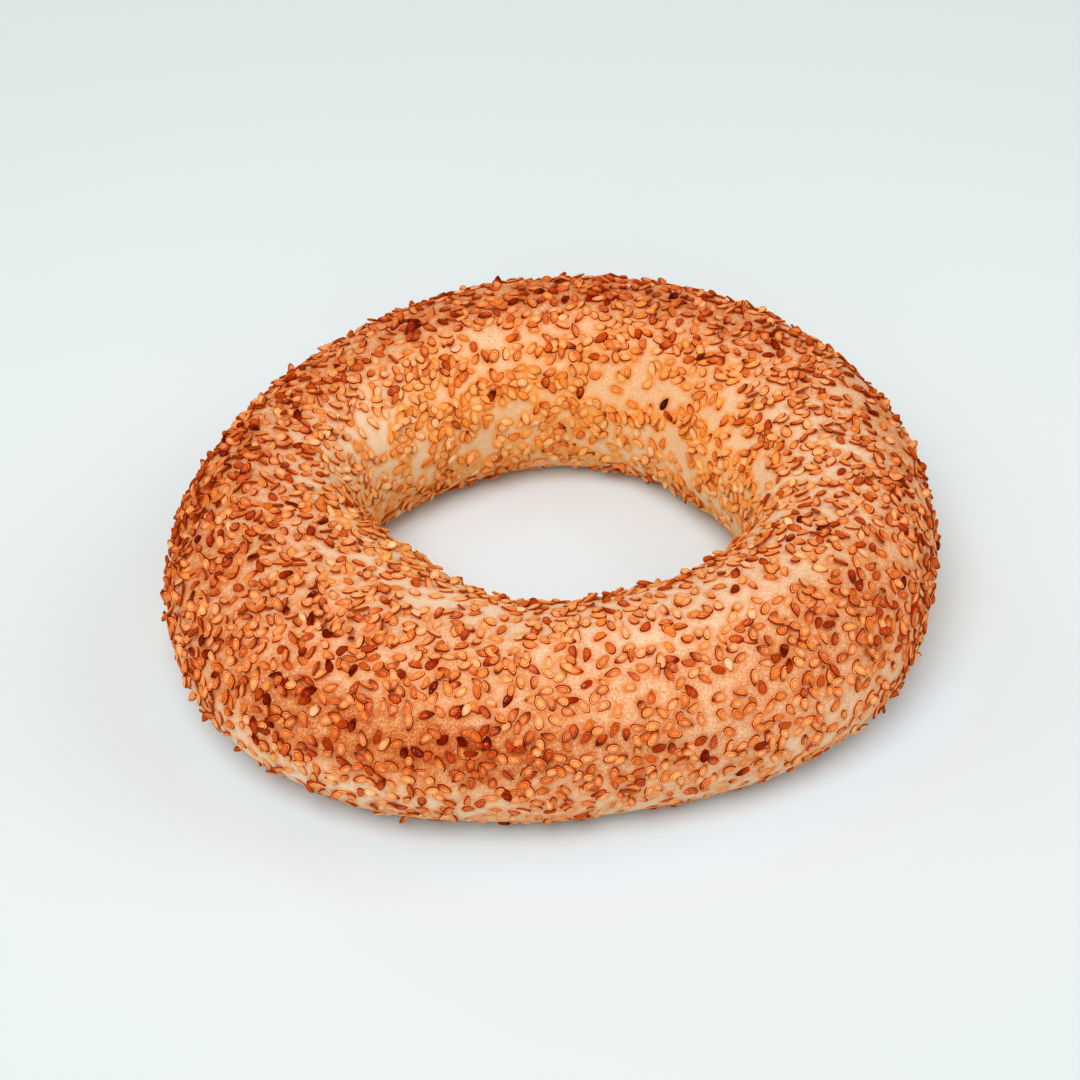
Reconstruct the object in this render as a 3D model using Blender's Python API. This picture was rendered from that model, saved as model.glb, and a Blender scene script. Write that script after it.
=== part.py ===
"""A simit: a plump ring of bread with a flat base and a hole through its middle, as one closed solid.

The ring is swept round the +Z axis. At each direction round the ring its section is a rounded hump that
runs from the hole's edge to the outer edge and from the flat base up to the crown. The dough was rolled
and joined by hand, so the outer edge, the hole and the crown each swell and sink a little on the way.
"""

import math

import bmesh
import bpy

# Sizes in metres.
OUTER_RADIUS = 0.0843  # mean distance from the ring's middle to its outer edge
HOLE_RADIUS = 0.0393  # mean distance from the ring's middle to the hole's edge
CROWN_HEIGHT = 0.0395  # mean height of the ring's top above its base

# Swells of the hand-shaped dough: (crests round the ring, height in metres, direction of a crest in degrees).
OUTER_SWELLS = (
    (2, 0.0032, 52),
    (3, 0.0020, -27),
    (4, 0.0014, 44),
    (5, 0.0004, 34),
)
HOLE_SWELLS = (
    (1, 0.0039, 82),
    (2, 0.0020, -37),
    (3, 0.0008, 51),
    (4, 0.0015, -10),
)
CROWN_SWELLS = (
    (2, 0.0005, 80),
    (3, 0.0011, -42),
)

# The section.
MIDDLE_SHARE = 0.46  # height of the widest level, as a share of the crown's height
PLUMPNESS = 2.12  # exponent of the superellipse: 2 is an ellipse, and more is fuller
BASE_BLEND = 0.0015  # height over which the sides turn into the flat base

# Faces of the swept surface.
STEPS_ROUND_RING = 100
STEPS_ROUND_SECTION = 38

CRUST_COLOUR = (0.72, 0.36, 0.13, 1.0)
CRUST_ROUGHNESS = 0.62


def swollen(mean, swells, direction):
    """A size in this direction round the ring: its mean with the swells added."""
    return mean + sum(
        height * math.cos(crests * (direction - math.radians(crest)))
        for crests, height, crest in swells
    )


def signed_power(value, exponent):
    return math.copysign(abs(value) ** exponent, value)


def settled(height):
    """The height once the dough rests on its tray: nothing lies below zero, and the edge is rounded."""
    if height <= -BASE_BLEND:
        return 0.0
    if height >= BASE_BLEND:
        return height
    return (height + BASE_BLEND) ** 2 / (4 * BASE_BLEND)


def section_point(direction, turn):
    """(distance from the ring's middle, height) of the point at this turn round the section."""
    outer = swollen(OUTER_RADIUS, OUTER_SWELLS, direction)
    hole = swollen(HOLE_RADIUS, HOLE_SWELLS, direction)
    crown = swollen(CROWN_HEIGHT, CROWN_SWELLS, direction)
    half_width = (outer - hole) / 2
    half_height = crown * (1 - MIDDLE_SHARE)
    across = half_width * signed_power(math.cos(turn), 2 / PLUMPNESS)
    up = half_height * signed_power(math.sin(turn), 2 / PLUMPNESS)
    return (outer + hole) / 2 + across, settled(crown * MIDDLE_SHARE + up)


def ring_mesh():
    """The swept surface, with the middle of its plan on the Z axis and its base on z = 0."""
    shape = bmesh.new()
    loops = []
    for i in range(STEPS_ROUND_RING):
        direction = 2 * math.pi * i / STEPS_ROUND_RING
        loop = []
        for j in range(STEPS_ROUND_SECTION):
            distance, height = section_point(direction, 2 * math.pi * j / STEPS_ROUND_SECTION)
            place = (distance * math.cos(direction), distance * math.sin(direction), height)
            loop.append(shape.verts.new(place))
        loops.append(loop)
    for i, loop in enumerate(loops):
        following = loops[(i + 1) % STEPS_ROUND_RING]
        for j in range(STEPS_ROUND_SECTION):
            k = (j + 1) % STEPS_ROUND_SECTION
            shape.faces.new((loop[j], following[j], following[k], loop[k]))
    for axis in (0, 1):
        places = [vertex.co[axis] for vertex in shape.verts]
        middle = (min(places) + max(places)) / 2
        for vertex in shape.verts:
            vertex.co[axis] -= middle
    bmesh.ops.triangulate(shape, faces=shape.faces, quad_method="SHORT_EDGE")
    bmesh.ops.recalc_face_normals(shape, faces=shape.faces)
    mesh = bpy.data.meshes.new("bread_ring")
    shape.to_mesh(mesh)
    shape.free()
    mesh.shade_smooth()
    return mesh


def crust_material():
    material = bpy.data.materials.new("baked_crust")
    material.use_nodes = True
    surface = material.node_tree.nodes["Principled BSDF"]
    surface.inputs["Base Color"].default_value = CRUST_COLOUR
    surface.inputs["Roughness"].default_value = CRUST_ROUGHNESS
    surface.inputs["Metallic"].default_value = 0.0
    return material


def main():
    for item in list(bpy.data.objects):
        bpy.data.objects.remove(item)
    ring = bpy.data.objects.new("bread_ring", ring_mesh())
    ring.data.materials.append(crust_material())
    bpy.context.scene.collection.objects.link(ring)


main()
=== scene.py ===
"""The looks of a simit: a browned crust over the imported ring, and toasted sesame seeds baked onto it."""

import math

import bmesh
import bpy
import numpy as np
from mathutils import Matrix, Vector, noise
from mathutils.bvhtree import BVHTree
from mathutils.kdtree import KDTree


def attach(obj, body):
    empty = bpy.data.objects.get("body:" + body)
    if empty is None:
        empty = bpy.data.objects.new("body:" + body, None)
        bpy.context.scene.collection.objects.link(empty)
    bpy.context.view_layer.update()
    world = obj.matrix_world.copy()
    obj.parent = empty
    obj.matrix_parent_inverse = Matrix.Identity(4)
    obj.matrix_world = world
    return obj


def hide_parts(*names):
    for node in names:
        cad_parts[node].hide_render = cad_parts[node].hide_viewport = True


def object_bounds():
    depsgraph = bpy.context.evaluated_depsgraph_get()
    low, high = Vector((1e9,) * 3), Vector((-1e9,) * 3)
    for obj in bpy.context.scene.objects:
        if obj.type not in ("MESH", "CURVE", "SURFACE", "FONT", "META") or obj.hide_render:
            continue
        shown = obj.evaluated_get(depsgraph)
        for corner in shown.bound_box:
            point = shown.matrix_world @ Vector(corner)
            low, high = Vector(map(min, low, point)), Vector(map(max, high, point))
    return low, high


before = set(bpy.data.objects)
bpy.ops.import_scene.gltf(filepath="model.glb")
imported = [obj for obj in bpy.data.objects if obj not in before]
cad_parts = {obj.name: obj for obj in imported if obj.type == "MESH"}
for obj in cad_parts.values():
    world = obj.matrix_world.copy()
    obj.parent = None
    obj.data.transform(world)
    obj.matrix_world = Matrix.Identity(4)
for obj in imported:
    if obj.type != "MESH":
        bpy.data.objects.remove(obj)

CAD_BOX = [list(corner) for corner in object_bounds()]
NODE = "bread_ring"
MM = 0.001
CM2_PER_M2 = 1e4

# A place on the bread is a direction round the ring, in degrees from +X, and a turn round its section, in
# degrees: 0 at the outer edge, 90 on the crown, 180 at the hole's edge and 270 in the middle of the base. The
# front is at -90, the right at 0, the far side at 90 and the left at 180.
CROWN = 90
HOLE_EDGE = 180
BASE = 270

# The crust's faces, and the level of the section's core, as a share of the ring's height.
STEPS_ROUND_RING = 520
STEPS_ROUND_SECTION = 180
CORE_LEVEL = 0.46

# Relief of the crust.
LUMP_HEIGHT = 0.35 * MM
LUMP_SIZE = 17 * MM
STRETCH_HEIGHT = 0.10 * MM
STRETCH_LENGTH = 24 * MM
STRETCH_WIDTH = 3.4 * MM
PUCKER_HEIGHT = 0.07 * MM
PUCKER_SIZE = 2.2 * MM

# The flat base, which is smooth, in degrees of turn to each side of its middle, and how softly it ends.
BASE_REACH = 50
BASE_FADE = 14

# The golden wall of the hole, in degrees of turn to each side of the hole's edge.
GOLD_REACH = 62
GOLD_STRENGTH = 1.3

# How steeply a patch or a band fades out from its middle.
PATCH_FADE = 0.7

# What brings the noise up to a range of about -1 to 1.
NOISE_GAIN = 1.6

# Browning of the crust, from 0, pale cream, to 1, deep brown.
PALE_TOAST = 0.28
# Bands that run all round the ring: (turn, half-width in degrees of turn, how much browner).
TOAST_BANDS = (
    (24, 30, 0.18),  # the shoulder above the outer edge
    (80, 30, 0.06),  # the crown
    (-24, 14, -0.08),  # the low outer edge
    (270, 60, 0.12),  # the base
)
# Patches: (direction, turn, half-length in degrees of direction, half-width in degrees of turn, how much
# browner). The lists after this one start with the same four numbers.
TOAST_PATCHES = (
    (2, 86, 24, 26, -0.14),  # right crown
    (-168, 60, 30, 50, 0.17),  # left shoulder
    (9, 51, 14, 13, 0.26),  # the bald spot on the right
    (-166, 44, 16, 22, 0.04),
    (-116, 16, 22, 16, 0.34),  # the brownest stretch, low at the front left
    (-84, 6, 20, 16, 0.14),
    (-82, 60, 40, 44, 0.10),  # front shoulder
    (-60, 96, 16, 12, 0.10),
    (-130, -14, 22, 12, -0.24),  # pale skirt at the front left
    (-48, -8, 14, 12, -0.04),
    (-68, 84, 22, 22, -0.12),
    (-78, 122, 60, 24, -0.18),  # the slope from the front crown into the hole, paler, partly as painted light on a slope facing away from the lamps
    (-150, 126, 40, 22, -0.09),
    (-32, 44, 24, 30, 0.19),  # right front shoulder
    (50, 88, 60, 24, 0.12),  # far crown
    (120, 92, 40, 18, 0.05),
    (165, 78, 20, 24, 0.11),  # left crown
    (56, 146, 60, 26, 0.25),  # upper far wall of the hole
    (112, 200, 40, 16, -0.06),
    (158, 155, 26, 36, -0.40),  # left wall of the hole, paler, partly as painted light on a wall in shade
    (40, 206, 48, 22, -0.32),  # low in the hole, on its right
    (-24, 204, 34, 18, -0.20),
    (-18, 146, 40, 12, 0.07),
    (4, 160, 26, 30, -0.18),  # right wall of the hole
    (-22, 24, 20, 24, -0.10),
    (95, 88, 50, 26, 0.24),  # the far crown's browned top
    (95, 228, 34, 10, 0.10),  # the foot of the far wall
)

# Seeds on each square centimetre of plain seeded crust, and where the crust is barer or fuller than that.
SEEDS_PER_CM2 = 14.0
# (direction, turn, half-length, half-width, share of the seeds missing)
BARE_PATCHES = (
    (-124, -14, 20, 11, 0.45),
    (-47, 4, 7, 8, 0.75),  # small bare spots on the right front
    (-52, -16, 10, 7, 0.55),
    (-64, 41, 5, 6, 0.85),
    (-56, 84, 8, 6, 0.70),
    (-66, 74, 5, 6, 0.75),
    (-44, 75, 7, 6, 0.65),
    (-78, 104, 24, 14, 0.35),
    (-116, 110, 8, 10, 0.60),
    (-70, 60, 30, 40, 0.20),
    (9, 51, 13, 13, 0.93),  # the bald spot on the right
    (32, 194, 26, 8, 0.75),  # bare streaks in the hole's far wall, from here on
    (62, 178, 10, 7, 0.70),
    (84, 163, 22, 5, 0.65),
    (50, 145, 9, 5, 0.80),
    (90, 143, 22, 3.5, 0.75),
    (47, 130, 14, 3.5, 0.70),
    (56, 103, 6, 6, 0.70),
    (113, 200, 11, 6, 0.85),
    (129, 190, 9, 9, 0.60),
    (150, 136, 12, 16, 0.42),
    (136, 138, 13, 12, 0.20),
    (160, 112, 9, 8, 0.25),
)
# (direction, turn, half-length, half-width, share of seeds added)
FULL_PATCHES = (
    (-165, 60, 40, 50, 0.26),  # left shoulder
    (-122, 32, 30, 34, 0.16),
    (-77, 108, 5, 6, 0.60),  # the dark cluster at the hole's near edge
    (110, 100, 60, 16, 0.25),
    (-20, 30, 24, 30, 0.35),
    (-86, -12, 26, 14, 0.20),
    (95, 160, 55, 34, 0.10),
    (110, 224, 75, 13, 1.50),  # the foot of the hole's far wall
)
# (direction, turn, half-length, half-width, share of the seeds that scorched)
SCORCHED_PATCHES = (
    (-132, 40, 24, 28, 0.14),
    (-112, 28, 18, 24, 0.18),
    (-168, 72, 26, 36, 0.10),
    (-77, 108, 5, 6, 0.60),  # the dark cluster at the hole's near edge
    (-36, 102, 9, 10, 0.42),
    (-16, 77, 6, 6, 0.35),
    (-12, 103, 7, 5, 0.25),
    (-12, 36, 14, 12, 0.16),
    (15, 68, 6, 5, 0.50),
    (51, 151, 7, 8, 0.50),
    (26, 168, 7, 6, 0.40),
    (45, 135, 60, 26, 0.14),
    (120, 96, 34, 10, 0.20),
    (113, 131, 8, 5, 0.45),
    (137, 128, 9, 4, 0.50),
    (13, 115, 7, 5, 0.30),
)
# (direction, turn, half-length, half-width, share of the seeds that stand up from the crust)
STANDING_PATCHES = (
    (95, 74, 55, 26, 0.06),
    (188, 30, 40, 50, 0.08),
    (-90, 110, 60, 12, 0.06),
    (10, 10, 40, 30, 0.03),
)
# (direction, turn, half-length, half-width, how much more unevenly the seeds lie)
RUFFLED_PATCHES = (
    (185, 60, 50, 60, 1.2),
    (20, 80, 60, 50, 0.8),
)
# The left crown, whose seeds sank into its glaze, and the hole's far wall, whose seeds lie in rows.
GLAZED_PLACE = (185, 70, 45, 50)
ROWED_PLACE = (90, 150, 85, 60)


def away(angle, centre):
    """Signed difference of two angles in degrees, the short way round."""
    return (angle - centre + 180) % 360 - 180


def patch(direction, turn, centre_direction, centre_turn, length, width):
    """1 in the middle of a soft patch of the crust, and 0 well outside it."""
    along = away(direction, centre_direction) / length
    across = away(turn, centre_turn) / width
    return np.exp(-PATCH_FADE * (along**2 + across**2) ** 1.5)


def band(turn, middle, width):
    """1 in the middle of a soft band that runs all round the ring, and 0 well outside it."""
    return np.exp(-PATCH_FADE * (away(turn, middle) / width) ** 2)


def added(patches, direction, turn):
    """What a list of patches adds up to at each place."""
    return sum(amount * patch(direction, turn, *place) for *place, amount in patches)


def noise_field(points, size, seed):
    """Smooth noise at each point, with features of that size in metres. Each seed reads its own part of it."""
    shift = Vector((13.7 * seed, 5.1 * seed, -7.3 * seed))
    flat = points.reshape(-1, 3) / size
    values = np.array([noise.noise(Vector(point) + shift) for point in flat])
    return values.reshape(points.shape[:-1]) * NOISE_GAIN


# ---------------------------------------------------------------- the bread's surface


def smoothed_solid():
    """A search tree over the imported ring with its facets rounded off."""
    shape = bmesh.new()
    shape.from_mesh(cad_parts[NODE].data)
    bmesh.ops.remove_doubles(shape, verts=shape.verts, dist=0.001 * MM)
    mesh = bpy.data.meshes.new("smoothed_ring")
    shape.to_mesh(mesh)
    shape.free()
    ring = bpy.data.objects.new("smoothed_ring", mesh)
    bpy.context.scene.collection.objects.link(ring)
    ring.modifiers.new("rounding", "SUBSURF").levels = 2
    tree = BVHTree.FromObject(ring, bpy.context.evaluated_depsgraph_get())
    bpy.data.objects.remove(ring)
    return tree


class Dough:
    """The bread's surface: points and normals on a grid of directions and turns."""

    def __init__(self):
        self.directions = np.arange(STEPS_ROUND_RING) * 360 / STEPS_ROUND_RING
        self.turns = np.arange(STEPS_ROUND_SECTION) * 360 / STEPS_ROUND_SECTION
        solid = smoothed_solid()
        corner = Vector(CAD_BOX[1])
        axis = Vector((0, 0, CORE_LEVEL * corner.z))
        points = []
        for direction in np.radians(self.directions):
            outward = Vector((math.cos(direction), math.sin(direction), 0))
            hole_edge = solid.ray_cast(axis, outward)[0]
            outer_edge = solid.ray_cast(axis + outward * corner.length, -outward)[0]
            core = (hole_edge + outer_edge) / 2
            for turn in np.radians(self.turns):
                ray = outward * math.cos(turn) + Vector((0, 0, math.sin(turn)))
                points.append(solid.ray_cast(core, ray)[0])
        self.points = np.array(points).reshape(STEPS_ROUND_RING, STEPS_ROUND_SECTION, 3)
        self.find_normals()

    def spans(self):
        """The way from the point before each grid point to the one after it, along the ring and round it."""
        along = np.roll(self.points, -1, 0) - np.roll(self.points, 1, 0)
        round_section = np.roll(self.points, -1, 1) - np.roll(self.points, 1, 1)
        return along, round_section

    def find_normals(self):
        along, round_section = self.spans()
        normals = np.cross(along, round_section)
        self.normals = normals / np.linalg.norm(normals, axis=2, keepdims=True)
        self.along = along / np.linalg.norm(along, axis=2, keepdims=True)

    def areas(self):
        """The crust's area at every grid point."""
        along, round_section = self.spans()
        return np.linalg.norm(np.cross(along / 2, round_section / 2), axis=2)

    def grid(self):
        """(direction, turn) of every grid point."""
        return np.meshgrid(self.directions, self.turns, indexing="ij")

    def raise_by(self, relief):
        """Moves the surface out along its normals by this relief, and keeps it off the tray."""
        self.points = self.points + self.normals * relief[..., None]
        self.points[..., 2] = np.maximum(self.points[..., 2], 0)
        self.find_normals()

    def at(self, values, direction, turn):
        """The grid's values at any directions and turns."""
        row = direction / 360 * STEPS_ROUND_RING
        column = turn / 360 * STEPS_ROUND_SECTION
        row_low = np.floor(row).astype(int)
        column_low = np.floor(column).astype(int)
        across = (row - row_low)[:, None]
        up = (column - column_low)[:, None]
        row_low %= STEPS_ROUND_RING
        column_low %= STEPS_ROUND_SECTION
        row_high = (row_low + 1) % STEPS_ROUND_RING
        column_high = (column_low + 1) % STEPS_ROUND_SECTION
        return (
            values[row_low, column_low] * (1 - across) * (1 - up)
            + values[row_high, column_low] * across * (1 - up)
            + values[row_low, column_high] * (1 - across) * up
            + values[row_high, column_high] * across * up
        )


def on_base(turn):
    """1 on the flat base and 0 on the rest of the crust."""
    return np.clip((BASE_REACH - np.abs(away(turn, BASE))) / BASE_FADE, 0, 1)


def stretched(dough, length, width):
    """The grid's places measured in lengths along the ring and widths round its section."""
    direction, turn = dough.grid()
    core_radius = np.linalg.norm(dough.points[..., :2], axis=2).mean()
    section_radius = dough.points[..., 2].max() / 2
    along = np.radians(direction)
    return np.stack(
        (
            np.cos(along) * core_radius / length,
            np.sin(along) * core_radius / length,
            np.radians(np.abs(away(turn, CROWN))) * section_radius / width,
        ),
        axis=2,
    )


def relief(dough):
    """Height of the crust above the smooth ring: slow lumps, stretch marks along the ring, fine puckers."""
    turn = dough.grid()[1]
    lumps = noise_field(dough.points, LUMP_SIZE, seed=1)
    marks = noise_field(stretched(dough, STRETCH_LENGTH, STRETCH_WIDTH), 1, seed=2)
    puckers = noise_field(dough.points, PUCKER_SIZE, seed=3)
    height = LUMP_HEIGHT * lumps + STRETCH_HEIGHT * marks + PUCKER_HEIGHT * puckers
    return height * (1 - on_base(turn))


def toast_at(direction, turn):
    """How browned the crust is."""
    bands = sum(amount * band(turn, middle, width) for middle, width, amount in TOAST_BANDS)
    return PALE_TOAST + bands + added(TOAST_PATCHES, direction, turn)


def gold_at(turn):
    """1 on the wall of the hole, which stayed golden and moist, and 0 outside. The crust's finish also paints
    warm bounce light there.
    """
    return np.clip(GOLD_STRENGTH - np.abs(away(turn, HOLE_EDGE)) / GOLD_REACH, 0, 1)


# ---------------------------------------------------------------- where the seeds fell

SEED_LENGTH = 2.90 * MM
SEED_WIDTH = 1.64 * MM

# How unevenly they were strewn. First the clumps: (size, how strong they are, seed of their noise).
CLUMPS = (
    (6.5 * MM, 0.5, 4),
    (15 * MM, 0.2, 5),
    (3 * MM, 0.35, 7),
)
# Then rows along the ring, faint anywhere and strong where they are in place.
ROW_LENGTH = 26 * MM
ROW_WIDTH = 4.6 * MM
ROWS_ANYWHERE = 0.2
ROWS_IN_PLACE = 1.2
# What both together may leave of the usual number, from and to.
THINNEST = 0.1
THICKEST = 2

# The base has next to no seeds: how far that reaches in degrees of turn, how softly it ends, and what share
# of the usual number is left.
BARE_BASE_REACH = 36
BARE_BASE_FADE = 32
BASE_SHARE = 0.05

# How near the midlines of two seeds may come, in seed widths, and what share of that is enough for a seed that
# rides up on its neighbour.
CLEARANCE = 0.90
RIDING_SHARE_OF_CLEARANCE = 0.42
# A seed that lacks no more of the clearance than this only touches its neighbour.
TOUCHING = 0.05
# Shares of the seeds that can ride up: anywhere, then what the left shoulder and the hole add to it.
RIDING_ANYWHERE = 0.22
RIDING_ON_LEFT = 0.22
LEFT_SHOULDER = (-165, 60, 40, 45)
RIDING_IN_HOLE = 0.20
THROWS_PER_SEED = 6
# Edge of the blocks of space in which neighbours are looked for, more than the reach of two seeds.
BLOCK = 3.4 * MM

# How toasted a seed is: what is usual, how it follows the crust's browning from a middling one, how much
# paler it is in the hole, and how much seeds differ.
USUAL_TOAST = 0.52
FOLLOWS_CRUST = 0.36
MIDDLING_CRUST = 0.42
PALER_IN_HOLE = 0.13
TOAST_SPREAD = 0.13
# Shares of seeds that scorched or stayed pale, and by how much, from and to.
SCORCHED_ANYWHERE = 0.05
SCORCHING = (0.10, 0.40)
PALE_ANYWHERE = 0.02
PALE_IN_HOLE = 0.03
PALING = (0.08, 0.24)

# How far seeds differ from the usual length, width and plumpness: (spread, least, most).
LENGTHS = (0.08, 0.8, 1.2)
WIDTHS = (0.09, 0.75, 1.2)
PLUMPNESS = (0.14, 0.65, 1.4)
# How pointed and how bent they are.
POINTS = (0.15, 0.70)
BEND_SPREAD = 0.08
# How clearly the rim shows: anywhere, more on the shoulder over the outer edge, and how much that differs.
RIM_ANYWHERE = 0.55
RIM_ON_SHOULDER = 0.35
RIM_SPREAD = 0.25
SHOULDER_TURN = 10
SHOULDER_REACH = 50
# Well-toasted seeds: past the first toast they puff up by so much, and past the second their rims dull.
PUFFED_TOAST = 0.66
PUFFED_BY = 0.30
DULLED_TOAST = 0.72
DULLED_TO = 0.6
# How golden seeds are, more and less than the crust under them.
GOLD_SHIFT = 0.04
GOLD_SPREAD = 0.22

# How unevenly the seeds lie, in degrees, and which shares of them lie on edge or stand.
ROLL_SPREAD = 11
PITCH_SPREAD = 7
RUFFLED_ANYWHERE = 0.6
ON_EDGE_ANYWHERE = 0.01
ON_EDGE_WHERE_RUFFLED = 0.06
ON_EDGE_ROLL = (22, 52)
STANDING_ANYWHERE = 0.012
STANDING_PITCH = (35, 60)
RIDING_PITCH = (8, 26)
# How high a seed's edge lies above the crust, from and to, in mm, and how much deeper it is pressed in where
# the section turns under, past so many degrees from the crown, and on the glazed left crown.
LIE_HEIGHT = (-0.06, 0.20)
PRESSED_DEPTH = 0.26
PRESSED_FROM = 95
PRESSED_FADE = 20
PRESSED_IN_GLAZE = 0.6
RIDING_HEIGHT = 0.75 * MM
# How far a tilted seed is lifted clear, as a share of its width or length.
ROLLED_SHARE = 0.25
PITCHED_SHARE = 0.20


class Seeds:
    """Where every seed lies, how it is turned and how it looks."""

    def __init__(self, dough, rng):
        self.rng = rng
        weight = self.strewing(dough) * dough.areas()
        count = int(SEEDS_PER_CM2 * CM2_PER_M2 * weight.sum())
        rides = self.throw(dough, weight, count * THROWS_PER_SEED)
        self.settle(count, rides)
        self.brown()
        self.shape()
        self.lay()

    def strewing(self, dough):
        """How thickly the seeds were strewn at every grid point."""
        direction, turn = dough.grid()
        crowd = sum(noise_field(dough.points, size, seed) * strength for size, strength, seed in CLUMPS)
        rows = noise_field(stretched(dough, ROW_LENGTH, ROW_WIDTH), 1, seed=6)
        crowd += rows * (ROWS_ANYWHERE + ROWS_IN_PLACE * patch(direction, turn, *ROWED_PLACE))
        thickness = (1 - added(BARE_PATCHES, direction, turn)).clip(0, 1)
        thickness *= 1 + added(FULL_PATCHES, direction, turn)
        thickness *= (1 + crowd).clip(THINNEST, THICKEST)
        off_base = np.clip((np.abs(away(turn, BASE)) - BARE_BASE_REACH) / BARE_BASE_FADE, 0, 1)
        return thickness * (BASE_SHARE + (1 - BASE_SHARE) * off_base)

    def throw(self, dough, weight, throws):
        """Where each thrown seed lands and which way it points. Returns which would ride up on others."""
        rng = self.rng
        direction, turn = dough.grid()
        cell = rng.choice(weight.size, size=throws, p=weight.ravel() / weight.sum())
        self.direction = direction.ravel()[cell] + rng.uniform(-0.5, 0.5, throws) * 360 / STEPS_ROUND_RING
        self.turn = turn.ravel()[cell] + rng.uniform(-0.5, 0.5, throws) * 360 / STEPS_ROUND_SECTION
        self.place = dough.at(dough.points, self.direction, self.turn)
        self.normal = dough.at(dough.normals, self.direction, self.turn)
        self.normal /= np.linalg.norm(self.normal, axis=1, keepdims=True)
        ahead = dough.at(dough.along, self.direction, self.turn)
        ahead -= self.normal * (ahead * self.normal).sum(1, keepdims=True)
        ahead /= np.linalg.norm(ahead, axis=1, keepdims=True)
        side = np.cross(self.normal, ahead)
        spin = rng.uniform(0, 2 * math.pi, throws)
        self.axis = ahead * np.cos(spin)[:, None] + side * np.sin(spin)[:, None]
        share_riding = (
            RIDING_ANYWHERE
            + RIDING_ON_LEFT * patch(self.direction, self.turn, *LEFT_SHOULDER)
            + RIDING_IN_HOLE * gold_at(self.turn)
        )
        return rng.uniform(size=throws) < share_riding

    def settle(self, count, rides):
        """Keeps this many seeds. One that would land on another mostly slides off, and some ride up on it."""
        offsets = np.array((-1, 0, 1)) * (SEED_LENGTH - SEED_WIDTH) / 2
        spots = self.place[:, None] + self.axis[:, None] * offsets[:, None]
        taken = {}
        kept = []
        lifted = []
        for index, place in enumerate(self.place):
            home = tuple(np.floor(place / BLOCK).astype(int))
            near = [
                other
                for x in (-1, 0, 1)
                for y in (-1, 0, 1)
                for z in (-1, 0, 1)
                for other in taken.get((home[0] + x, home[1] + y, home[2] + z), ())
            ]
            gap = 1.0
            if near:
                gaps = spots[near][:, :, None] - spots[index][None, None]
                gap = np.sqrt((gaps**2).sum(-1).min()) / (SEED_WIDTH * CLEARANCE)
            if gap < (RIDING_SHARE_OF_CLEARANCE if rides[index] else 1.0):
                continue
            taken.setdefault(home, []).append(index)
            kept.append(index)
            lifted.append(max(0.0, 1 - gap))
            if len(kept) == count:
                break
        for name in ("direction", "turn", "place", "normal", "axis"):
            setattr(self, name, getattr(self, name)[kept])
        self.lifted = np.array(lifted)
        self.count = len(kept)

    def brown(self):
        """Toasts each seed, more where the crust is browner, scorches some and leaves a few pale."""
        rng, n = self.rng, self.count
        gold = gold_at(self.turn)
        from_crust = FOLLOWS_CRUST * (toast_at(self.direction, self.turn) - MIDDLING_CRUST)
        toast = USUAL_TOAST + from_crust - PALER_IN_HOLE * gold + rng.normal(0, TOAST_SPREAD, n)
        scorched_share = SCORCHED_ANYWHERE + added(SCORCHED_PATCHES, self.direction, self.turn)
        scorched = rng.uniform(size=n) < scorched_share
        toast[scorched] += rng.uniform(*SCORCHING, scorched.sum())
        pale = rng.uniform(size=n) < PALE_ANYWHERE + PALE_IN_HOLE * gold
        toast[pale] -= rng.uniform(*PALING, pale.sum())
        self.toast = toast.clip(0, 1)

    def shape(self):
        """Gives each seed its size, its outline and how strongly its rim and its colours show."""
        rng, n = self.rng, self.count
        self.length = SEED_LENGTH * self.varied(*LENGTHS)
        self.width = SEED_WIDTH * self.varied(*WIDTHS)
        self.plump = self.varied(*PLUMPNESS) + PUFFED_BY * (self.toast > PUFFED_TOAST)
        shoulder = np.exp(-((away(self.turn, SHOULDER_TURN) / SHOULDER_REACH) ** 2))
        self.rim = (RIM_ANYWHERE + RIM_ON_SHOULDER * shoulder + rng.normal(0, RIM_SPREAD, n)).clip(0, 1)
        self.rim[self.toast > DULLED_TOAST] *= DULLED_TO
        self.gold = (gold_at(self.turn) + rng.normal(GOLD_SHIFT, GOLD_SPREAD, n)).clip(0, 1)
        self.point = rng.uniform(*POINTS, n)
        self.bend = rng.normal(0, BEND_SPREAD, n)
        self.shade = rng.uniform(0, 1, n)

    def varied(self, spread, least, most):
        """A size for each seed, as a share of the usual one."""
        return self.rng.normal(1, spread, self.count).clip(least, most)

    def either_way(self, angles, count):
        """Tilts between two angles in degrees, to either side."""
        return self.rng.choice((-1, 1), count) * self.rng.uniform(*angles, count)

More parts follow.
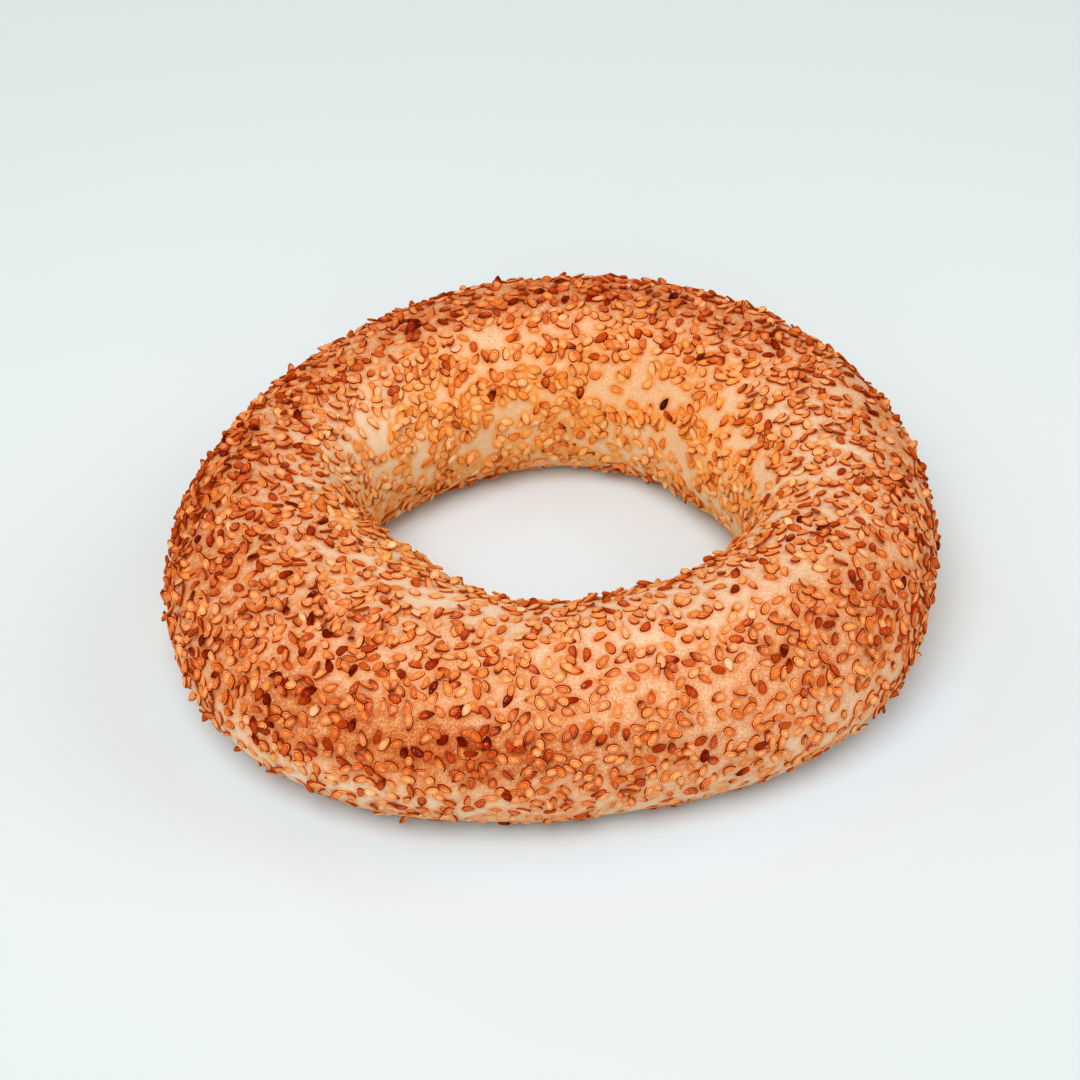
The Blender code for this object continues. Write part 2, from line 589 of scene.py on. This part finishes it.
    def lay(self):
        """Tilts each seed, and sinks it into the dough or lifts it."""
        rng, n = self.rng, self.count
        place = (self.direction, self.turn)
        ruffled = RUFFLED_ANYWHERE + added(RUFFLED_PATCHES, *place)
        roll = rng.normal(0, ROLL_SPREAD, n) * ruffled
        pitch = rng.normal(0, PITCH_SPREAD, n) * ruffled
        on_edge = rng.uniform(size=n) < ON_EDGE_ANYWHERE + ON_EDGE_WHERE_RUFFLED * ruffled
        roll[on_edge] = self.either_way(ON_EDGE_ROLL, on_edge.sum())
        standing = rng.uniform(size=n) < STANDING_ANYWHERE + added(STANDING_PATCHES, *place)
        pitch[standing] = rng.uniform(*STANDING_PITCH, standing.sum())
        riding = self.lifted > TOUCHING
        pitch[riding] += self.either_way(RIDING_PITCH, riding.sum())
        self.roll = np.radians(roll)
        self.pitch = np.radians(pitch)
        pressed = np.clip((np.abs(away(self.turn, CROWN)) - PRESSED_FROM) / PRESSED_FADE, 0, 1)
        pressed += PRESSED_IN_GLAZE * patch(*place, *GLAZED_PLACE)
        self.lift = (rng.uniform(*LIE_HEIGHT, n) - PRESSED_DEPTH * pressed) * MM
        self.lift += self.lifted * RIDING_HEIGHT
        self.lift += np.abs(np.sin(self.roll)) * self.width * ROLLED_SHARE
        self.lift += np.abs(np.sin(self.pitch)) * self.length * PITCHED_SHARE

    def frames(self):
        """A rotation for each seed, from its own axes to the world's: long axis, width, out of its face."""
        side = np.cross(self.normal, self.axis)
        roll_cos, roll_sin = np.cos(self.roll)[:, None], np.sin(self.roll)[:, None]
        side_rolled = side * roll_cos + self.normal * roll_sin
        out_rolled = self.normal * roll_cos - side * roll_sin
        pitch_cos, pitch_sin = np.cos(self.pitch)[:, None], np.sin(self.pitch)[:, None]
        axis_pitched = self.axis * pitch_cos + out_rolled * pitch_sin
        out_pitched = out_rolled * pitch_cos - self.axis * pitch_sin
        return np.stack((axis_pitched, side_rolled, out_pitched), axis=2)


# ---------------------------------------------------------------- the seeds' meshes

OUTLINE_POINTS = 14
SEED_TOP = 0.34 * MM  # height of the domed face above the seed's edge
SEED_UNDER = 0.30 * MM  # depth of the underside below it
# Loops of a seed from near the middle of its face to its edge: (share of its outline, share of its height).
FACE_LOOPS = ((0.46, 0.94), (0.81, 0.76), (0.94, 0.58), (1.0, 0.10))
RIM_SHAPE = (-0.14, -0.20, 0.14, 0.0)  # what a rim adds to those heights
RIMMED_MIDDLE = 0.18  # how much a rim lowers the middle of the face
FOOT_LOOP = (1.15, -0.9)  # the glaze that crept up the seed and set round its foot
UNEVEN = 0.02  # how far an outline and a face stray from true, as a share
MAP_SPAN = 1.5 * SEED_LENGTH  # what a seed's cell in the bake map spans, twice side by side


def seed_faces():
    """Faces of one seed as loops of its points: a fan, bands from loop to loop, and a flat underside."""
    n = OUTLINE_POINTS
    loops = [[1 + n * level + k for k in range(n)] for level in range(len(FACE_LOOPS) + 1)]
    faces = [(0, loops[0][k], loops[0][(k + 1) % n]) for k in range(n)]
    for inner, outer in zip(loops, loops[1:]):
        faces += [(inner[k], outer[k], outer[(k + 1) % n], inner[(k + 1) % n]) for k in range(n)]
    faces.append(tuple(reversed(loops[-1])))
    return faces


def seed_points(seeds, chosen, rng):
    """Points of the chosen seeds in their own axes, with how far out and how far along each one is."""
    n = len(chosen)
    angle = np.arange(OUTLINE_POINTS) * 2 * math.pi / OUTLINE_POINTS
    length = seeds.length[chosen][:, None]
    width = seeds.width[chosen][:, None]
    across = np.sin(angle) * np.abs(np.sin(angle / 2)) ** seeds.point[chosen][:, None]
    across /= np.abs(across).max(axis=1, keepdims=True)
    wobble = 1 + rng.normal(0, UNEVEN, (n, OUTLINE_POINTS))
    x = np.cos(angle) / 2 * length * wobble
    y = across / 2 * width * wobble + seeds.bend[chosen][:, None] * np.cos(angle) ** 2 * width
    rim = seeds.rim[chosen][:, None]
    top = SEED_TOP * seeds.plump[chosen][:, None]
    levels = [np.stack((0 * top, 0 * top, top * (1 - RIMMED_MIDDLE * rim)), axis=2)]
    for (share, height), extra in zip(FACE_LOOPS, RIM_SHAPE):
        uneven = rng.normal(0, UNEVEN, (n, OUTLINE_POINTS)) * (share < 1)
        levels.append(np.stack((x * share, y * share, top * (height + extra * rim + uneven)), axis=2))
    share, height = FOOT_LOOP
    levels.append(np.stack((x * share, y * share, SEED_UNDER * height + 0 * x), axis=2))
    points = np.concatenate(levels, axis=1)
    shares = [share for share, _ in FACE_LOOPS + (FOOT_LOOP,)]
    out = np.repeat([0.0] + shares, [1] + [OUTLINE_POINTS] * len(shares))
    along = points[:, :, 0] / length + 0.5
    return points, np.tile(out, (n, 1)), along


def seed_map(faces, count, points):
    """A place in the unit square for every face corner. A seed's cell has its face left, underside right."""
    columns = math.ceil(math.sqrt(count / 2))
    rows = math.ceil(count / columns)
    cell = np.arange(count)
    corner = np.stack((cell % columns / columns, cell // columns / rows), axis=1)
    flat = points[:, :, :2] / MAP_SPAN
    under_start = 1 + OUTLINE_POINTS * (len(FACE_LOOPS) - 1)
    places = []
    for face in faces:
        middle = 0.75 if min(face) >= under_start else 0.25
        inside = flat[:, face] * (0.5, 1) + (middle, 0.5)
        places.append(corner[:, None] + inside / (columns, rows))
    return np.concatenate(places, axis=1)


def add_mark(mesh, name, values):
    """A number on every point of a mesh, for its finish to read."""
    layer = mesh.attributes.new(name, "FLOAT", "POINT")
    layer.data.foreach_set("value", np.asarray(values, np.float32).ravel())


def add_bake_map(mesh, places):
    """The map that the finishes are baked by: a place in the unit square for every face corner."""
    layer = mesh.uv_layers.new(name="OFBake")
    layer.uv.foreach_set("vector", places.astype(np.float32).ravel())


def add_piece(name, mesh):
    piece = bpy.data.objects.new(name, mesh)
    bpy.context.scene.collection.objects.link(piece)
    return piece


def seeds_piece(name, seeds, chosen, rng):
    """One kind of seed as one mesh of many seeds."""
    local, out, along = seed_points(seeds, chosen, rng)
    frames = seeds.frames()[chosen]
    base = seeds.place[chosen] + seeds.normal[chosen] * seeds.lift[chosen][:, None]
    world = np.einsum("nij,nkj->nki", frames, local) + base[:, None]
    world[..., 2] = np.maximum(world[..., 2], 0)
    count, size = world.shape[:2]
    faces = seed_faces()
    lengths = np.tile([len(face) for face in faces], count)
    corners = np.concatenate([np.array(face) for face in faces])
    indices = (corners[None] + np.arange(count)[:, None] * size).ravel()
    starts = np.concatenate(([0], np.cumsum(lengths)[:-1]))
    mesh = bpy.data.meshes.new(name)
    mesh.vertices.add(count * size)
    mesh.vertices.foreach_set("co", world.astype(np.float32).ravel())
    mesh.loops.add(len(indices))
    mesh.loops.foreach_set("vertex_index", indices.astype(np.int32))
    mesh.polygons.add(len(lengths))
    mesh.polygons.foreach_set("loop_start", starts.astype(np.int32))
    mesh.update(calc_edges=True)
    mesh.shade_smooth()
    for mark in ("toast", "shade", "gold", "rim"):
        add_mark(mesh, mark, np.repeat(getattr(seeds, mark)[chosen], size))
    add_mark(mesh, "out", out)
    add_mark(mesh, "along", along)
    add_bake_map(mesh, seed_map(faces, count, local))
    mesh.validate()
    return add_piece(name, mesh)


# ---------------------------------------------------------------- the crust

SEED_END = 0.65 * MM  # from a seed's middle to the middle of its rounded end
UNDER_SEED = 0.9 * MM  # from there, how far the crust counts as under the seed
HALO = 0.9 * MM  # and how far beyond that the glaze and painted shade round it reach


def crust_piece(dough, seeds):
    """The crust's mesh, marked with its browning and with how near a seed is."""
    rows, columns = STEPS_ROUND_RING, STEPS_ROUND_SECTION
    row, column = np.meshgrid(np.arange(rows), np.arange(columns), indexing="ij")
    next_row = (row + 1) % rows
    next_column = (column + 1) % columns
    corners = np.stack(
        (
            row * columns + column,
            next_row * columns + column,
            next_row * columns + next_column,
            row * columns + next_column,
        ),
        axis=2,
    ).reshape(-1, 4)
    mesh = bpy.data.meshes.new("crust")
    mesh.from_pydata(dough.points.reshape(-1, 3).tolist(), [], corners.tolist())
    mesh.shade_smooth()
    direction, turn = dough.grid()
    add_mark(mesh, "toast", toast_at(direction, turn))
    add_mark(mesh, "gold", gold_at(turn))
    add_mark(mesh, "near_seed", nearness(dough, seeds))
    u = np.stack((row, row + 1, row + 1, row), axis=2) / rows
    v = np.stack((column, column, column + 1, column + 1), axis=2) / columns
    add_bake_map(mesh, np.stack((u, v), axis=3))
    return add_piece("crust", mesh)


def nearness(dough, seeds):
    """1 under and right beside a seed, and 0 from about a seed's width away."""
    tree = KDTree(seeds.count * 2)
    for index in range(seeds.count):
        for end in (-1, 1):
            tree.insert(seeds.place[index] + seeds.axis[index] * end * SEED_END, index)
    tree.balance()
    gaps = np.array([tree.find(point)[2] for point in dough.points.reshape(-1, 3)])
    return (1 - (gaps - UNDER_SEED) / HALO).clip(0, 1)


# ---------------------------------------------------------------- finishes


def screen(red, green, blue):
    """Linear colour of an everyday 0-255 colour."""
    levels = [level / 255 for level in (red, green, blue)]
    return tuple(x / 12.92 if x <= 0.04045 else ((x + 0.055) / 1.055) ** 2.4 for x in levels) + (1.0,)


class Wire:
    """An output of a node in a finish. Arithmetic on wires adds the nodes that work it out."""

    def __init__(self, finish, socket):
        self.finish = finish
        self.socket = socket

    def __add__(self, other):
        return self.finish.maths("ADD", self, other)

    __radd__ = __add__

    def __sub__(self, other):
        return self.finish.maths("SUBTRACT", self, other)

    def __rsub__(self, other):
        return self.finish.maths("SUBTRACT", other, self)

    def __mul__(self, other):
        return self.finish.maths("MULTIPLY", self, other)

    __rmul__ = __mul__


class Finish:
    """A material made of nodes round one Principled shader."""

    def __init__(self, name):
        self.material = bpy.data.materials.new(name)
        self.material.use_nodes = True
        self.nodes = self.material.node_tree.nodes
        self.links = self.material.node_tree.links
        self.surface = self.nodes["Principled BSDF"]
        self.place = self.node("ShaderNodeTexCoord", output="Object")

    def feed(self, socket, value):
        if isinstance(value, Wire):
            self.links.new(value.socket, socket)
        else:
            socket.default_value = value

    def node(self, kind, settings=None, inputs=None, output=0):
        """Adds a node with its settings, then its sockets' values or wires. Returns one of its outputs."""
        made = self.nodes.new(kind)
        for name, value in (settings or {}).items():
            if name == "stops":
                self.set_stops(made.color_ramp, value)
            else:
                setattr(made, name, value)
        for name, value in (inputs or {}).items():
            self.feed(made.inputs[name], value)
        return Wire(self, made.outputs[output])

    def set_stops(self, ramp, stops):
        while len(ramp.elements) < len(stops):
            ramp.elements.new(1)
        for element, (position, colour) in zip(ramp.elements, stops):
            element.position = position
            element.color = colour

    def maths(self, operation, first, second):
        return self.node("ShaderNodeMath", {"operation": operation}, {0: first, 1: second})

    def clamp(self, value):
        return self.node("ShaderNodeClamp", None, {"Value": value})

    def step(self, value, start, end):
        """0 below start and 1 above end, smoothly. With start above end it falls instead."""
        sockets = {"Value": value, "From Min": start, "From Max": end}
        return self.node("ShaderNodeMapRange", {"interpolation_type": "SMOOTHSTEP"}, sockets)

    def mark(self, name):
        """A number that the mesh carries on its points."""
        return self.node("ShaderNodeAttribute", {"attribute_name": name}, output="Fac")

    def moved(self, shift):
        """The place on the piece, moved by a vector or by a number along all three axes."""
        return self.node("ShaderNodeVectorMath", {"operation": "ADD"}, {0: self.place, 1: shift})

    def grain(self, size, detail=2.0, roughness=0.5, shift=0.0):
        """Noise centred on 0, from about -0.5 to 0.5, with features of this size in metres."""
        place = self.moved((shift, shift, shift))
        sockets = {"Vector": place, "Scale": 1 / size, "Detail": detail, "Roughness": roughness}
        return self.node("ShaderNodeTexNoise", None, sockets) - 0.5

    def ramp(self, value, stops):
        return self.node("ShaderNodeValToRGB", {"stops": stops}, {"Fac": value})

    def blend(self, factor, low, high, way="MIX"):
        settings = {"data_type": "RGBA", "blend_type": way, "clamp_factor": True}
        return self.node("ShaderNodeMix", settings, {0: factor, 6: low, 7: high}, output=2)

    def set(self, **sockets):
        for name, value in sockets.items():
            self.feed(self.surface.inputs[name.replace("_", " ")], value)

    def relief(self, height, distance):
        """Turns a height, in shares of distance, into the shader's normal."""
        self.set(Normal=self.node("ShaderNodeBump", None, {"Height": height, "Distance": distance}))


CRUST_COLOURS = (
    (0.0, screen(233, 209, 180)),
    (0.25, screen(231, 196, 159)),
    (0.5, screen(227, 174, 132)),
    (0.75, screen(214, 137, 80)),
    (1.0, screen(188, 88, 34)),
)
# Toasted seeds on the open crust, and the yellower ones in the hole.
TAN_SEED_COLOURS = (
    (0.0, screen(240, 208, 166)),
    (0.20, screen(240, 183, 124)),
    (0.40, screen(234, 149, 80)),
    (0.56, screen(216, 110, 34)),
    (0.72, screen(186, 64, 6)),
    (0.86, screen(146, 34, 2)),
    (1.0, screen(92, 14, 1)),
)
GOLDEN_SEED_COLOURS = (
    (0.0, screen(242, 206, 152)),
    (0.20, screen(243, 180, 98)),
    (0.40, screen(243, 154, 62)),
    (0.56, screen(228, 118, 26)),
    (0.72, screen(192, 70, 6)),
    (0.86, screen(130, 34, 3)),
    (1.0, screen(62, 12, 2)),
)
# The crust in the hole, with painted warm bounce light; the glaze and painted shade round the seeds; and the
# pale specks, part floury blister and part painted glint.
GOLD_CREAM_AND_WARM_BOUNCE = screen(240, 194, 140)
GOLD_GLAZE_AND_SHADE = screen(245, 156, 50)
BROWN_GLAZE_AND_SHADE = screen(226, 120, 38)
DARK_GLAZE_AND_SHADE = screen(172, 64, 12)
PALE_SPECK_AND_GLINT = screen(250, 228, 200)
# A seed's parts, with painted highlights on the rim and the middle, and painted shade in the groove, down the
# side and at the foot.
PALE_RIM_AND_HIGHLIGHT = screen(250, 196, 116)
PAINTED_HIGHLIGHT_COLOUR = screen(236, 170, 128)
GROOVE_PAINTED_SHADE = screen(226, 112, 40)
SIDE_PAINTED_SHADE = screen(226, 112, 34)
FOOT_GLAZE_AND_SHADOW = screen(134, 46, 4)
GLAZE_COLOUR = screen(190, 82, 20)
SCORCHED = screen(96, 20, 2)
WARM_GLINT = (1.0, 0.80, 0.62, 1.0)
# The paper under the bread, painted dimmer toward its edges, lighter in the hole against its shade, and cooler
# where warm light off the bread falls.
PAPER = screen(218, 225, 225)
FAR_PAPER_PAINTED_DIM = screen(208, 216, 215)
PAPER_PAINTED_COOL_BEFORE_RING = screen(214, 228, 235)
PAPER_PAINTED_LIT_AND_COOL_IN_HOLE = screen(226, 240, 245)


def crust_finish():
    """Baked dough: cream where it stayed pale, through orange-tan to brown, with a fine floury grain, glaze
    and painted shade round the seeds, and pale specks that are partly painted glints.
    """
    look = Finish("browned_crust")
    gold = look.mark("gold")
    baked = look.mark("toast")
    near = look.mark("near_seed")
    cloud = look.grain(6 * MM, 3)
    mottle = look.grain(1.4 * MM, 3, 0.6, 0.7)
    fine = look.grain(0.50 * MM, 3, 0.75, 1.9)
    # Near a seed the crust is browner, partly from glaze and partly as painted shade.
    toast = baked + cloud * 0.36 + mottle * 0.26 + fine * 1.4 + near * 0.06
    colour = look.ramp(look.clamp(toast), CRUST_COLOURS)
    # The hole's golden crust, warmed further by painted bounce light off its walls.
    colour = look.blend(gold * 0.5, colour, GOLD_CREAM_AND_WARM_BOUNCE)
    # Glaze, browning and painted shade gather round each seed, darker on the well-baked crust.
    glaze_and_shade_halo = look.blend(gold, BROWN_GLAZE_AND_SHADE, GOLD_GLAZE_AND_SHADE)
    glaze_and_shade_halo = look.blend(look.step(baked, 0.42, 0.80), glaze_and_shade_halo, DARK_GLAZE_AND_SHADE)
    colour = look.blend(near * look.clamp(0.55 + mottle * 1.4 + gold * 0.35), colour, glaze_and_shade_halo)
    # Small pale specks in drifts, part floury blister and part painted glint. The grain bends their cells, so
    # that none is round.
    cells = {"Vector": look.moved(fine * (0.9 * MM)), "Scale": 1 / (0.75 * MM), "Randomness": 1.0}
    spots = look.node("ShaderNodeTexVoronoi", {"feature": "F1"}, cells, output="Distance")
    drifts = look.step(look.grain(1.6 * MM, 2, 0.6, 4.2), -0.02, 0.16)
    specks = look.step(spots, 0.34, 0.12) * drifts
    colour = look.blend(specks * 0.60, colour, PALE_SPECK_AND_GLINT)
    look.set(Base_Color=colour, Roughness=look.clamp(0.62 + mottle * 0.25 - specks * 0.2), Metallic=0.0)
    look.set(Specular_IOR_Level=0.0, Coat_Weight=specks * 0.3, Coat_Roughness=0.3, Coat_Tint=WARM_GLINT)
    look.relief(mottle * 0.9 + fine * 1.1 + specks * 0.3, 0.20 * MM)
    return look.material


def seed_finish(name, gloss):
    """Toasted sesame: a domed face inside a paler rim, both lit by painted highlights, painted shade in the
    groove and down the side, dark glaze and painted shadow round its foot, often a scorched point.
    """
    look = Finish(name)
    toast = look.mark("toast")
    shade = look.mark("shade")
    gold = look.mark("gold")
    outside = 1 - gold
    out = look.mark("out")
    along = look.mark("along")
    blotch = look.grain(0.9 * MM, 2, 0.5, 2.3)
    fine = look.grain(0.25 * MM, 2, 0.6, 5.1)
    rimmed = look.clamp(look.mark("rim") * 1.3)
    # The face, browner toward one end and paler in its middle, where a highlight is painted.
    painted_highlight = look.step(out, 0.78, 0.36) * look.clamp(blotch * 5 + shade * 0.9)
    uneven = blotch * 0.40 + fine * 0.20 + (along - 0.5) * (shade * 0.5 - 0.05)
    browned = look.clamp(toast + uneven - painted_highlight * 0.08)
    tan = look.ramp(browned, TAN_SEED_COLOURS)
    golden = look.ramp(browned, GOLDEN_SEED_COLOURS)
    colour = look.blend(gold, tan, golden)
    unscorched = look.clamp(1.5 - toast * 1.7)
    colour = look.blend(painted_highlight * unscorched * (0.4 + outside * 0.6), colour, PAINTED_HIGHLIGHT_COLOUR)
    # Painted shade in the groove inside the rim, and down the side below it.
    painted_groove_shade = look.step(out, 0.54, 0.76) * look.step(out, 0.86, 0.80) * look.clamp(rimmed * 1.2)
    colour = look.blend(painted_groove_shade * 0.75, colour, GROOVE_PAINTED_SHADE, "MULTIPLY")
    side = look.step(out, 0.94, 0.97) * look.clamp(outside + 0.5)
    colour = look.blend(side * 0.8, colour, SIDE_PAINTED_SHADE, "MULTIPLY")
    # The pointed end of about every third seed scorched.
    tip = look.step(along, 0.74, 1.0) * look.step(shade, 0.58, 0.72)
    colour = look.blend(tip * 0.85, colour, SCORCHED)
    # A paler rim, the hull's own margin, lightened further as a painted highlight.
    rim = look.step(out, 0.81, 0.87) * look.step(out, 0.98, 0.95) * look.clamp(blotch * 6 + 0.8)
    colour = look.blend(look.clamp(rim * rimmed * (1.5 - toast * 1.6) * (1 - tip)), colour, PALE_RIM_AND_HIGHLIGHT)
    # The foot in its glaze, darkened further by a painted contact shadow.
    foot = look.blend(look.step(out, 1.09, 1.15), FOOT_GLAZE_AND_SHADOW, GLAZE_COLOUR)
    colour = look.blend(look.step(out, 0.98, 1.02) * (outside * 0.55 + 0.30), colour, foot)
    glints = look.step(look.grain(0.6 * MM, 2, 0.6, 7.7), 0.04, 0.14)
    coat = look.step(out, 0.84, 0.70) * glints * look.clamp(toast + 0.1)
    look.set(Base_Color=colour, Roughness=look.clamp(gloss + blotch * 0.2), Metallic=0.0)
    look.set(Specular_IOR_Level=0.0, Coat_Weight=coat, Coat_Roughness=0.14)
    look.relief(blotch * 0.6 + fine * 0.5, 0.10 * MM)
    return look.material


def floor_finish():
    """White paper, painted a shade greyer toward its edges as the light falls off, painted lighter in the hole
    against its shade, and painted cooler where warm light off the bread falls on it.
    """
    look = Finish("pale_paper")
    reach = look.node("ShaderNodeVectorMath", {"operation": "LENGTH"}, {0: look.place}, output="Value")
    depth = look.node("ShaderNodeSeparateXYZ", None, {"Vector": look.place}, output="Y")
    # Painted light: dimmer toward the edges, cooler before the ring, lighter and cooler in the hole.
    colour = look.blend(look.step(reach, 0.08, 0.36), PAPER, FAR_PAPER_PAINTED_DIM)
    before_ring = look.step(depth, 0.0, -0.05) * look.step(reach, 0.102, 0.088)
    colour = look.blend(before_ring, colour, PAPER_PAINTED_COOL_BEFORE_RING)
    colour = look.blend(look.step(reach, 0.075, 0.045), colour, PAPER_PAINTED_LIT_AND_COOL_IN_HOLE)
    look.set(Base_Color=colour, Roughness=0.8, Specular_IOR_Level=0.2)
    return look.material


# ---------------------------------------------------------------- the scene

# Kinds of seed from the palest to the brownest: (piece name, share of all the seeds, roughness).
SEED_KINDS = (
    ("golden_seeds", 0.23, 0.40),
    ("amber_seeds", 0.23, 0.38),
    ("tan_seeds", 0.23, 0.36),
    ("toasted_seeds", 0.20, 0.32),
    ("scorched_seeds", 0.11, 0.28),
)

SKY_COLOUR = (0.98, 1.0, 1.0, 1.0)
SKY_STRENGTH = 0.35
# Round softboxes: (name, bearing and height in degrees, distance, diameter, share of the floor's light).
SOFTBOXES = (
    ("key", 252, 60, 5.0, 3.3, 0.57),
    ("front", 264, 25, 3.0, 2.4, 0.14),
    ("left", 180, 36, 3.0, 2.2, 0.07),
    ("right", 6, 38, 3.0, 2.4, 0.16),
    ("back", 122, 22, 3.0, 0.8, 0.03),
)

FLOOR_REACH = 3.0
FLOOR_GAP = 0.05 * MM

CAMERA_HEIGHT = 36.26  # degrees above the floor, seen from the ring
CAMERA_ROLL = 1.22  # degrees, as of a camera held by hand
CAMERA_DISTANCE = 0.683
CAMERA_AIM = Vector((-0.003, -0.0021, 0.018))
FOCAL_LENGTH = 104.5  # on a sensor 36 mm wide
SENSOR_WIDTH = 36


def make_simit():
    rng = np.random.default_rng(20)
    dough = Dough()
    dough.raise_by(relief(dough))
    seeds = Seeds(dough, rng)
    crust = crust_piece(dough, seeds)
    crust.data.materials.append(crust_finish())
    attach(crust, "root")
    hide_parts(NODE)
    palest_first = np.argsort(seeds.toast)
    start = 0
    for name, share, roughness in SEED_KINDS:
        end = min(start + math.ceil(share * seeds.count), seeds.count)
        piece = seeds_piece(name, seeds, palest_first[start:end], rng)
        piece.data.materials.append(seed_finish(name.replace("seeds", "sesame"), roughness))
        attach(piece, "root")
        start = end


def make_floor():
    mesh = bpy.data.meshes.new("floor")
    corners = [(x * FLOOR_REACH, y * FLOOR_REACH, 0) for x, y in ((-1, -1), (1, -1), (1, 1), (-1, 1))]
    mesh.from_pydata(corners, [], [(0, 1, 2, 3)])
    floor = add_piece("floor", mesh)
    floor.location.z = -FLOOR_GAP
    mesh.materials.append(floor_finish())


def add_softbox(name, bearing, height, distance, size, share):
    """A round softbox that stands at this bearing and height and faces the ring."""
    bearing, height = math.radians(bearing), math.radians(height)
    light = bpy.data.lights.new(name, "AREA")
    light.shape = "DISK"
    light.size = size
    light.energy = share * (math.pi * distance) ** 2 / math.sin(height)
    lamp = bpy.data.objects.new(name, light)
    bpy.context.scene.collection.objects.link(lamp)
    flat = math.cos(height)
    toward = Vector((flat * math.cos(bearing), flat * math.sin(bearing), math.sin(height)))
    lamp.location = toward * distance
    lamp.rotation_euler = toward.to_track_quat("Z", "Y").to_euler()


def make_lights():
    world = bpy.data.worlds.new("studio")
    world.use_nodes = True
    sky = world.node_tree.nodes["Background"]
    sky.inputs["Color"].default_value = SKY_COLOUR
    sky.inputs["Strength"].default_value = SKY_STRENGTH
    bpy.context.scene.world = world
    for softbox in SOFTBOXES:
        add_softbox(*softbox)


def make_camera():
    """Stands before the ring and looks down at it."""
    height = math.radians(CAMERA_HEIGHT)
    roll = math.radians(CAMERA_ROLL)
    back = Vector((0, -math.cos(height), math.sin(height)))
    right = Vector((1, 0, 0))
    up = back.cross(right)
    up_rolled = up * math.cos(roll) + right * math.sin(roll)
    right_rolled = right * math.cos(roll) - up * math.sin(roll)
    data = bpy.data.cameras.new("camera")
    data.sensor_width = SENSOR_WIDTH
    data.lens = FOCAL_LENGTH
    camera = bpy.data.objects.new("camera", data)
    bpy.context.scene.collection.objects.link(camera)
    turned = Matrix((right_rolled, up_rolled, back)).transposed()
    camera.matrix_world = Matrix.Translation(CAMERA_AIM + back * CAMERA_DISTANCE) @ turned.to_4x4()
    bpy.context.scene.camera = camera


make_simit()
make_floor()
make_lights()
make_camera()
bpy.context.scene.view_settings.view_transform = "Standard"
